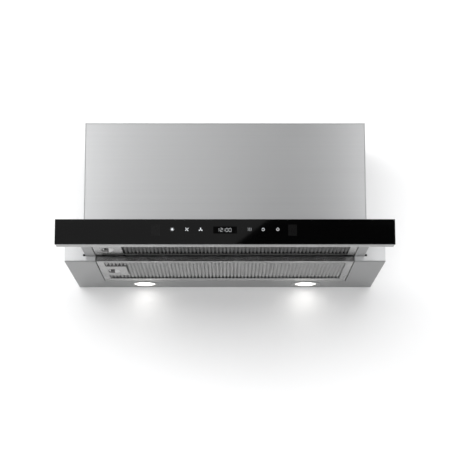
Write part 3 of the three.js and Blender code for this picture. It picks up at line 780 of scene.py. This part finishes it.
COLLAR_INNER, COLLAR_OUTER = 59.5, 62  # radii
COLLAR_RIBS = 16
FLAP_RADIUS = 56.5
FLAP_RIBS = (-36, -18, 0, 18, 36)  # x
GROOVE_HALF = (185, 11)  # along x and z
GROOVE_LEVELS = (92, 148, 204)
GROOVE_SECTION = (  # inset from the outline, and depth
    (5.2, 5.0), (1.4, 3.0), (-0.6, 0.8), (0.02, 0.03), (1.6, 0.7), (5.6, 4.2),
)
KEYHOLE_X, KEYHOLE_LEVEL = 210, 258
FIXING_X, FIXING_LEVELS = 235, (86, 168)
PLUG_RADIUS = 2.5
NUGGET = ((2.5, -0.1), (2.4, 0.02), (1.9, 0.14), (1.4, 0.05), (0.1, 0.05))  # a spot weld's profile
REAR_WELDS = range(66, 290, 36)  # levels
TOP_WELDS, BASE_WELDS = range(-165, -20, 34), range(-262, -10, 42)  # y
KNOCK_OUTS = (((205, -60), 13), ((-205, -110), 10), ((205, -120), 10))  # place and radius
TOP_SCREW_X, TOP_SCREW_Y = (-258, -129, 129, 258), (-176, -9)
SIDE_SCREW_Y, SIDE_SCREW_LEVELS = -22, (74, 172, 268)
WING_INSET, WING_SCREW_Y = 13, (-266, -214)
COVER_SCREW_X = (-236, -118, 0, 118, 236)
PANEL_SCREW_X, PANEL_SCREW_LEVELS = (-288, -272, 272, 288), (8, 38)
STOP_X, STOP_LEVEL = 280, 23


def collar():
    """The outlet's collar: a ring with a beaded edge, ribs and the bar that carries the flaps."""
    x, y, (foot, top) = span_of("outlet_collar")
    centre = (sum(x) / 2, sum(y) / 2, 0)
    wide = (x[1] - x[0]) / 2
    inner, outer = COLLAR_INNER, COLLAR_OUTER
    flange = (HOUSING_TOP + 0.35, HOUSING_TOP + 1.8)
    form = Form().at(centre)
    form.turned([
        (inner, foot), (outer, foot), (outer, flange[0]), (wide - 0.4, flange[0]),
        (wide, flange[0] + 0.4), (wide, flange[1] - 0.5), (wide - 0.5, flange[1]),
        (outer + 0.6, flange[1]), (outer, flange[1] + 0.6), (outer, top - 2.2), (outer + 0.7, top - 1.7),
        (outer + 0.7, top - 0.9), (outer - 0.4, top), (inner + 0.6, top), (inner, top - 0.6),
    ], 128)
    square = rounded((0, 0), wide - 4, wide - 4, 5)
    form.plate(square, [circle((0, 0), inner + 0.8, 64)], (foot, foot + 1.5), "z")
    hinge = sum(span_of("damper_rear_flap")[2]) / 2
    form.block((-inner - 0.5, inner + 0.5), (-1.4, 1.4), (hinge - 4, hinge + 4))
    form.piece("collar_ring", "housing", "black_plastic", smooth=35, replaces=["outlet_collar"])

    form = Form()
    web = [(outer - 0.3, flange[1] - 0.1), (wide - 1.6, flange[1] - 0.1), (outer - 0.3, top - 2.4)]
    for rib in range(COLLAR_RIBS):
        form.at(centre, turn=(rib + 0.5) * 360 / COLLAR_RIBS).prism(web, (-0.6, 0.6))
    form.piece("collar_ribs", "housing", "black_plastic")


def damper_ribs():
    """Stiffening ribs on top of each flap."""
    for side, flap in ((-1, "front_flap"), (1, "rear_flap")):
        _, y, z = span_of("damper_" + flap)
        hinge = y[1] if side < 0 else y[0]
        level = sum(z) / 2
        form = Form()
        for place in FLAP_RIBS:
            reach = math.sqrt(FLAP_RADIUS ** 2 - place ** 2) - 6
            ends = sorted(hinge + side * far for far in (5, reach))
            form.block((place - 0.6, place + 0.6), ends, (level + 0.5, level + 1.9))
        form.piece(f"damper_{flap}_ribs", flap, "black_plastic", bevel=0.2)


def gland_parts():
    """The cable gland: flange, hexagonal nut, clamping ring and a blind rubber insert."""
    x, y, (foot, top) = span_of("mains_gland")
    centre = (sum(x) / 2, sum(y) / 2, 0)
    flange = HOUSING_TOP + 0.3
    form = Form().at(centre)
    form.turned([
        (4.2, foot), (8, foot), (8, flange), (11.6, flange), (12, flange + 0.4),
        (12, flange + 1.1), (11.6, flange + 1.5), (4.2, flange + 1.5),
    ])
    form.loft([form.ring(10.8, flange + rise, 6) for rise in (1.5, 4.2)])
    form.turned([
        (5.2, flange + 4.1), (9.2, flange + 4.1), (9.2, flange + 5.2), (8.4, flange + 6.8),
        (7.0, top), (5.6, top), (5.2, top - 0.4),
    ])
    form.piece("gland_nut", "housing", "black_plastic", bevel=0.25, smooth=35, replaces=["mains_gland"])

    form = Form().at(centre)
    form.turned([
        (0.1, top - 2.6), (1.8, top - 2.5), (2.2, top - 1.2),
        (5.3, top - 0.7), (5.3, top - 4), (0.1, top - 4),
    ], 48, solid=True)
    form.piece("gland_insert", "housing", "rubber")


def keyhole(x, z):
    """A hanging hole's outline: a round entry with a slot above it."""
    entry, slot, rise = 6, 3, 15
    return arc((x, z), entry, 120, 420, 24) + arc((x, z + rise), slot, 0, 180, 10)


def back_panel():
    """The housing's back: a sheet with hanging holes, fixing holes and pressed grooves."""
    x, y, z = span_of("housing_rear_panel")
    half_x, half_z = GROOVE_HALF
    fixings = [(side * FIXING_X, level) for side, _ in SIDES for level in FIXING_LEVELS]
    holes = [rounded((0, level), half_x, half_z, half_z) for level in GROOVE_LEVELS]
    holes += [keyhole(side * KEYHOLE_X, KEYHOLE_LEVEL) for side, _ in SIDES]
    holes += [circle(place, PLUG_RADIUS + 0.1, 20) for place in fixings]
    form = Form()
    form.plate(corners(x, z), holes, y)
    for level in GROOVE_LEVELS:
        rings = []
        for inset, depth in GROOVE_SECTION:
            outline = rounded((0, level), half_x - inset, half_z - inset, half_z - inset)
            rings.append([form.point(u, v, y[1] - depth, "y") for u, v in outline])
        form.loft(rings)
    form.piece("back_panel_pressed", "housing", "inner_steel", smooth=25, replaces=["housing_rear_panel"])

    form = Form()
    for place in fixings:
        form.prism(circle(place, PLUG_RADIUS, 20), (y[0] - 0.6, y[1] - 0.25))
    form.piece("back_plugs", "housing", "rubber")


def sheet_welds():
    """Rows of spot welds along the housing's sides and the lower body's ends."""
    _, depth, height = span_of("housing_left_panel")
    form = Form()

    def weld(place, facing):
        form.at(place, facing).turned(NUGGET, 24, solid=True)

    for side, _ in SIDES:
        outward = (side, 0, 0)
        for level in REAR_WELDS:
            weld((side * HOUSING_HALF, depth[1] - 9, level), outward)
        for place in TOP_WELDS:
            weld((side * HOUSING_HALF, place, height[1] - 7), outward)
        for place in BASE_WELDS:
            weld((side * (BASE_HALF - 7), place, BASE_TOP), (0, 0, 1))
            weld((side * BASE_HALF, place, BASE_TOP - 8), outward)
    form.piece("spot_welds", "housing", "outer_steel", smooth=50)


def housing_screws():
    """Pan-head screws on the housing and the lower body's top."""
    form = Form()
    for x in TOP_SCREW_X:
        for y in TOP_SCREW_Y:
            form.at((x, y, HOUSING_TOP), turn=x + y).screw()
    for side, _ in SIDES:
        for level in SIDE_SCREW_LEVELS:
            place = (side * HOUSING_HALF, SIDE_SCREW_Y, level)
            form.at(place, (side, 0, 0), turn=level).screw(2.6, 1.5)
        for y in WING_SCREW_Y:
            form.at((side * (BASE_HALF - WING_INSET), y, BASE_TOP), turn=y).screw()
        form.at((side * 140, -232, BASE_TOP), turn=side * 31).screw()
    form.piece("housing_screws", "housing", "rail_steel", smooth=35)


def knock_outs():
    """Blanked cable entries: a stamped ring round a pressed blank."""
    form = Form()
    for place, radius in KNOCK_OUTS:
        stamped = [(radius + 1.6, -0.1), (radius + 1.2, 0.25), (radius + 0.3, 0.25), (radius, -0.1)]
        blank = [(radius - 0.8, -0.1), (radius - 1.2, 0.3), (radius - 3, 0.12), (0.1, 0.12)]
        form.at((*place, HOUSING_TOP)).turned(stamped, 48).turned(blank, 48, solid=True)
    form.piece("knock_outs", "housing", "inner_steel", smooth=30)


def slider_fixings():
    """Flush screws on the slider's cover and its front panel's back, and two rubber stops."""
    _, cover_y, cover_z = span_of("slider_cover")
    panel_back = span_of("panel_back")[1][1]
    form = Form()
    for x in COVER_SCREW_X:
        form.at((x, cover_y[0] + 10, cover_z[1]), turn=x).screw(2.8, 0.6)
    for x in PANEL_SCREW_X:
        for level in PANEL_SCREW_LEVELS:
            form.at((x, panel_back, level), (0, 1, 0), turn=x + level).screw(2.6, 0.6)
    form.piece("slider_screws", "slider", "rail_steel", smooth=35)

    form = Form()
    for side, _ in SIDES:
        form.at((side * STOP_X, panel_back, STOP_LEVEL), (0, 1, 0))
        form.turned([(4.5, -0.1), (4.5, 0.3), (3.8, 0.75), (0.1, 0.85)], 32, solid=True)
    form.piece("panel_stops", "slider", "rubber", smooth=50)


# ---- Touch panel ----

SYMBOL_LEVEL = 27.3  # height of the row of symbols
SYMBOL_LIFT = 0.12  # how far a print stands out of the glass
LAMP_X, LOW_FAN_X, HIGH_FAN_X = -92.7, -67.0, -42.8
HEAT_X, TIMER_X, FILTER_X = 39.8, 67.2, 92.7  # HEAT_X is its symbol's left
DISPLAY_X, DISPLAY_Z, DISPLAY_LIFT = (-20.6, 20.9), (19.8, 32.4), 0.06
DIGIT_HEIGHT, DIGIT_WIDTH, STROKE = 6.0, 4.0, 0.5
SEGMENTS = {0: "abcdef", 1: "bc", 2: "abged"}
CLOCK = ((1, -14.6), (2, -8.1), (0, 1.3), (0, 6.9))  # digits and their left edges
COLON_X = -1.2
GRID_X, GRID_LEVEL = (-122, 118.8), 25.9  # middles of the grids of dots
GRID_COLUMNS, GRID_ROWS = 10, 13
DOT_PITCH, DOT_WIDTH, DOT_LIFT = 1.55, 0.85, 0.05


def print_span(lift=SYMBOL_LIFT):
    """Where something printed on the glass lies along y."""
    front = span_of("glass_fascia")[1][0]
    return (front - lift, front + 0.2)


def blade_symbol(form, centre, blades, reach, width, turn):
    """A fan: round blades about a hub."""
    form.prism(circle(centre, 0.22 * reach, 12), print_span())
    for blade in range(blades):
        angle = math.radians(turn + 360 * blade / blades)
        across, up = math.cos(angle), math.sin(angle)
        outline = []
        for step in range(16):
            along = 2 * math.pi * step / 16
            far = reach * (0.62 + 0.38 * math.cos(along))
            wide = width * reach * math.sin(along)
            outline.append((centre[0] + far * across - wide * up, centre[1] + far * up + wide * across))
        form.prism(outline, print_span())


def pointed(ends, level):
    """The outline of one segment of a digit, pointed at both ends."""
    half = STROKE / 2
    start, end = ends[0] + 0.6 * STROKE, ends[1] - 0.6 * STROKE
    return [
        (start, level), (start + half, level - half), (end - half, level - half),
        (end, level), (end - half, level + half), (start + half, level + half),
    ]


def digit(form, value, left, bottom):
    """A seven-segment digit."""
    middle, top, right = bottom + DIGIT_HEIGHT / 2, bottom + DIGIT_HEIGHT, left + DIGIT_WIDTH
    level = {"a": top, "g": middle, "d": bottom}
    column = {
        "f": (left, middle, top), "b": (right, middle, top),
        "e": (left, bottom, middle), "c": (right, bottom, middle),
    }
    for segment in SEGMENTS[value]:
        if segment in level:
            form.prism(pointed((left, right), level[segment]), print_span())
        else:
            x, low, high = column[segment]
            form.prism([(v, u) for u, v in pointed((low, high), x)], print_span())


def touch_symbols():
    """From left to right: lamp, two fan speeds, heat, timer and filter."""
    level = SYMBOL_LEVEL
    lamp = (LAMP_X, level)
    form = Form()
    form.prism(circle(lamp, 2.0), print_span())
    for ray in circle(lamp, 3.1, 8):
        form.prism(circle(ray, 0.36, 10), print_span())
    blade_symbol(form, (LOW_FAN_X, level), 4, 3.9, 0.15, 38)
    blade_symbol(form, (HIGH_FAN_X, level - 0.5), 3, 3.7, 0.26, 90)
    form.piece("touch_symbols", "slider", "black_glass", "lit_white", smooth=30)

    timer, rhombus = (TIMER_X, level - 0.2), (FILTER_X, level)
    form = Form()
    form.plate(circle(timer, 2.5), [circle(timer, 2.05)], print_span())
    form.plate(circle(rhombus, 3.1, 4), [circle(rhombus, 2.5, 4)], print_span())
    form.piece("outlined_symbols", "slider", "black_glass", "lit_line", smooth=30)

    form = Form()
    for wave in range(3):
        left = HEAT_X + 2.6 * wave
        path = [(left + 0.7 * math.sin(step / 2), level - 3 + step) for step in range(7)]
        form.prism(path + [(x + 0.8, z) for x, z in reversed(path)], print_span())
    form.piece("heat_symbol", "slider", "black_glass", "lit_dim", smooth=30)


def clock_display():
    """The clock's dark window and its time, 12:00."""
    form = Form()
    form.block(DISPLAY_X, print_span(DISPLAY_LIFT), DISPLAY_Z)
    form.piece("display_window", "slider", "black_glass", "display_window")

    form = Form()
    bottom = SYMBOL_LEVEL - 1.0 - DIGIT_HEIGHT / 2
    for value, left in CLOCK:
        digit(form, value, left, bottom)
    for share in (0.3, 0.7):
        form.prism(circle((COLON_X, bottom + share * DIGIT_HEIGHT), 0.45, 12), print_span())
    form.piece("clock_digits", "slider", "black_glass", "lit_clock", smooth=30)


def dot_grids():
    """A faint patch of dots at each end of the row of symbols."""
    half = DOT_WIDTH / 2
    for middle, (_, hand) in zip(GRID_X, SIDES):
        form = Form()
        for column in range(GRID_COLUMNS):
            for row in range(GRID_ROWS):
                x = middle + (column - (GRID_COLUMNS - 1) / 2) * DOT_PITCH
                z = GRID_LEVEL + (row - (GRID_ROWS - 1) / 2) * DOT_PITCH
                form.block((x - half, x + half), print_span(DOT_LIFT), (z - half, z + half))
        form.piece(f"{hand}_dot_grid", "slider", "black_glass", "faint_print")


# ---- Studio ----

WALL_COLOR, WALL_GLOW = 0.83, 0.11
WALL_PLACE = 1.5  # y
WALL_X, WALL_Z = (-4000, 4000), (-2500, 3000)
HOLE_MARGIN = 4  # from the hood's outline to the hole in the wall
FLOOR_COLOR = 0.8
FLOOR_LEVEL = -1500
FLOOR_Y = (-5000, 5000)
CARD_PLACE = -3200  # y of the reflected card
CARD_X, CARD_Z = (-2600, 2600), (100, 3600)
CARD_TONES = [  # across the card, in metres from the middle, and its brightness
    (-1.30, 0.6), (-0.90, 2.1), (-0.66, 2.1), (-0.54, 0.97), (-0.26, 0.79), (0.00, 0.71),
    (0.27, 0.32), (0.40, 0.10), (0.48, 0.20), (0.54, 0.52), (0.66, 1.95), (0.90, 2.0), (1.30, 0.6),
]
FLAG_PLACE = -3170  # y of the two flags before it
FLAG_X, FLAG_Z = (-1500, 1500), (500, 670)
FLAG_EDGE = (-38, 181)  # x where the grey flag meets the black one, at their foot and top
GREY_FLAG, BLACK_FLAG = 0.34, 0.012
KEY_PLACE = (-0.55, -3.4, 0.9)  # in the row frame and metres, like KEY_SIZE
KEY_SIZE = (5.0, 1.7)
KEY_POWER = 132  # watts
SKY_COLOR = (0.985, 0.99, 1.0, 1)
SKY_LIGHT, SKY_SEEN = 0.43, 0.95  # what the sky gives, and how bright it looks


def stage_sheet(name, outline, material, **seen_by):
    """A flat sheet for the studio. seen_by names the kinds of ray that meet it."""
    mesh = bpy.data.meshes.new(name)
    mesh.from_pydata([TO_ROW @ Vector(corner) for corner in outline], [], [range(len(outline))])
    mesh.materials.append(material)
    sheet = bpy.data.objects.new(name, mesh)
    for kind in ("camera", "diffuse", "glossy", "transmission", "volume_scatter", "shadow"):
        setattr(sheet, "visible_" + kind, seen_by.get(kind, False))
    bpy.context.scene.collection.objects.link(sheet)


def pale_sheet(name, color, light):
    """A matt pale surface that is seen only from its front, with a light of its own."""
    material = bpy.data.materials.new(name)
    tree = Tree(material)
    paper = tree.add("TexNoise", Scale=3.0)
    shade = tree.add("ValToRGB", Fac=paper.outputs["Fac"])
    for stop, value in zip(shade.color_ramp.elements, (color * 0.985, color)):
        stop.color = (value, value, value, 1)
    mix = tree.add("MixShader", Fac=tree.add("NewGeometry").outputs["Backfacing"])
    lit = tree.add("AddShader")
    tree.feed(lit.inputs[0], tree.add("BsdfDiffuse", Color=shade.outputs["Color"]))
    tree.feed(lit.inputs[1], tree.add("Emission", Strength=light))
    tree.feed(mix.inputs[1], lit)
    tree.feed(mix.inputs[2], tree.add("BsdfTransparent"))
    tree.feed(tree.add("OutputMaterial").inputs["Surface"], mix)
    return material


def glow(name, strength=1.0, tones=None):
    """A plain light source; tones change its brightness along x."""
    material = bpy.data.materials.new(name)
    tree = Tree(material)
    color = (1, 1, 1, 1)
    if tones:
        width = tones[-1][0] - tones[0][0]
        place = tree.add("SeparateXYZ", Vector=tree.add("TexCoord").outputs["Object"]).outputs["X"]
        share = tree.add("MapRange", Value=place, From_Min=tones[0][0], From_Max=tones[-1][0])
        ramp = tree.add("ValToRGB", Fac=share.outputs["Result"])
        stops = ramp.color_ramp.elements
        while len(stops) < len(tones):
            stops.new(0.5)
        for stop, (x, value) in zip(stops, tones):
            stop.position = (x - tones[0][0]) / width
            stop.color = (value, value, value, 1)
        color = ramp.outputs["Color"]
    light = tree.add("Emission", Color=color, Strength=strength)
    tree.feed(tree.add("OutputMaterial").inputs["Surface"], light)
    return material


def upright_at(outline, y):
    """Where an outline of (x, z) points stands."""
    return [(u, y, v) for u, v in outline]


def build_room():
    """The floor and the wall, with a hole behind the hood through which its back is lit."""
    everything = {"camera": True, "diffuse": True, "glossy": True, "shadow": True}
    rear = span_of("housing_rear_panel")
    half, top = rear[0][1] - HOLE_MARGIN, rear[2][1] - HOLE_MARGIN
    low = span_of("base_rear_wall")[2][0] + HOLE_MARGIN
    parts = [
        (WALL_X, (WALL_Z[0], low)), (WALL_X, (top, WALL_Z[1])),
        ((WALL_X[0], -half), (low, top)), ((half, WALL_X[1]), (low, top)),
    ]
    paint = pale_sheet("wall_paint", WALL_COLOR, WALL_GLOW)
    for index, part in enumerate(parts):
        stage_sheet(f"wall_{index}", upright_at(corners(*part), WALL_PLACE), paint, **everything)
    floor = [(x, y, FLOOR_LEVEL) for x, y in corners(WALL_X, FLOOR_Y)]
    stage_sheet("floor", floor, pale_sheet("floor_paint", FLOOR_COLOR, WALL_GLOW), **everything)


def build_cards():
    """What gloss reflects: a card of soft tones and, before it, two flags for the glass."""
    card = upright_at(corners(CARD_X[::-1], CARD_Z), CARD_PLACE)
    stage_sheet("soft_card", card, glow("card_light", tones=CARD_TONES), glossy=True)
    (left, right), (foot, top) = FLAG_X, FLAG_Z
    edge = [(FLAG_EDGE[0], foot), (FLAG_EDGE[1], top)]
    grey_flag = upright_at([(left, foot), (left, top), *edge[::-1]], FLAG_PLACE)
    black_flag = upright_at([*edge, (right, top), (right, foot)], FLAG_PLACE)
    stage_sheet("grey_flag", grey_flag, glow("grey_flag_light", GREY_FLAG), glossy=True)
    stage_sheet("black_flag", black_flag, glow("black_flag_light", BLACK_FLAG), glossy=True)


def light_scene():
    """A wide soft key light from the front, and a pale sky."""
    key = bpy.data.lights.new("key", "AREA")
    key.shape = "RECTANGLE"
    key.size, key.size_y = KEY_SIZE
    key.energy = KEY_POWER
    lamp = bpy.data.objects.new("key", key)
    lamp.location = KEY_PLACE
    lamp.rotation_euler = (-lamp.location).to_track_quat("-Z", "Y").to_euler()
    lamp.visible_glossy = False
    bpy.context.scene.collection.objects.link(lamp)

    world = bpy.data.worlds.new("studio")
    bpy.context.scene.world = world
    tree = Tree(world)
    path = tree.add("LightPath")
    seen = tree.add("Math", {"operation": "MAXIMUM"}, Value=path.outputs["Is Camera Ray"])
    tree.feed(seen.inputs[1], path.outputs["Is Glossy Ray"])
    strength = tree.add("MapRange", Value=seen, To_Min=SKY_LIGHT, To_Max=SKY_SEEN)
    sky = tree.add("Background", Color=SKY_COLOR, Strength=strength.outputs["Result"])
    tree.feed(tree.add("OutputWorld").inputs["Surface"], sky)
    bpy.context.scene.view_settings.view_transform = "Standard"


# ---- Everything ----

place_camera()
FINISHES = finishes()
build_room()
build_cards()
light_scene()
dress_nodes()
for filter_name in ("front_filter", "rear_filter"):
    filter_lattice(filter_name)
    finger_scoop(filter_name)
    handle_skirt(filter_name)
    filter_trim(filter_name)
front_filter_painted_shade_strip()
lamp_glass()
collar()
damper_ribs()
gland_parts()
back_panel()
sheet_welds()
housing_screws()
knock_outs()
slider_fixings()
touch_symbols()
clock_display()
dot_grids()
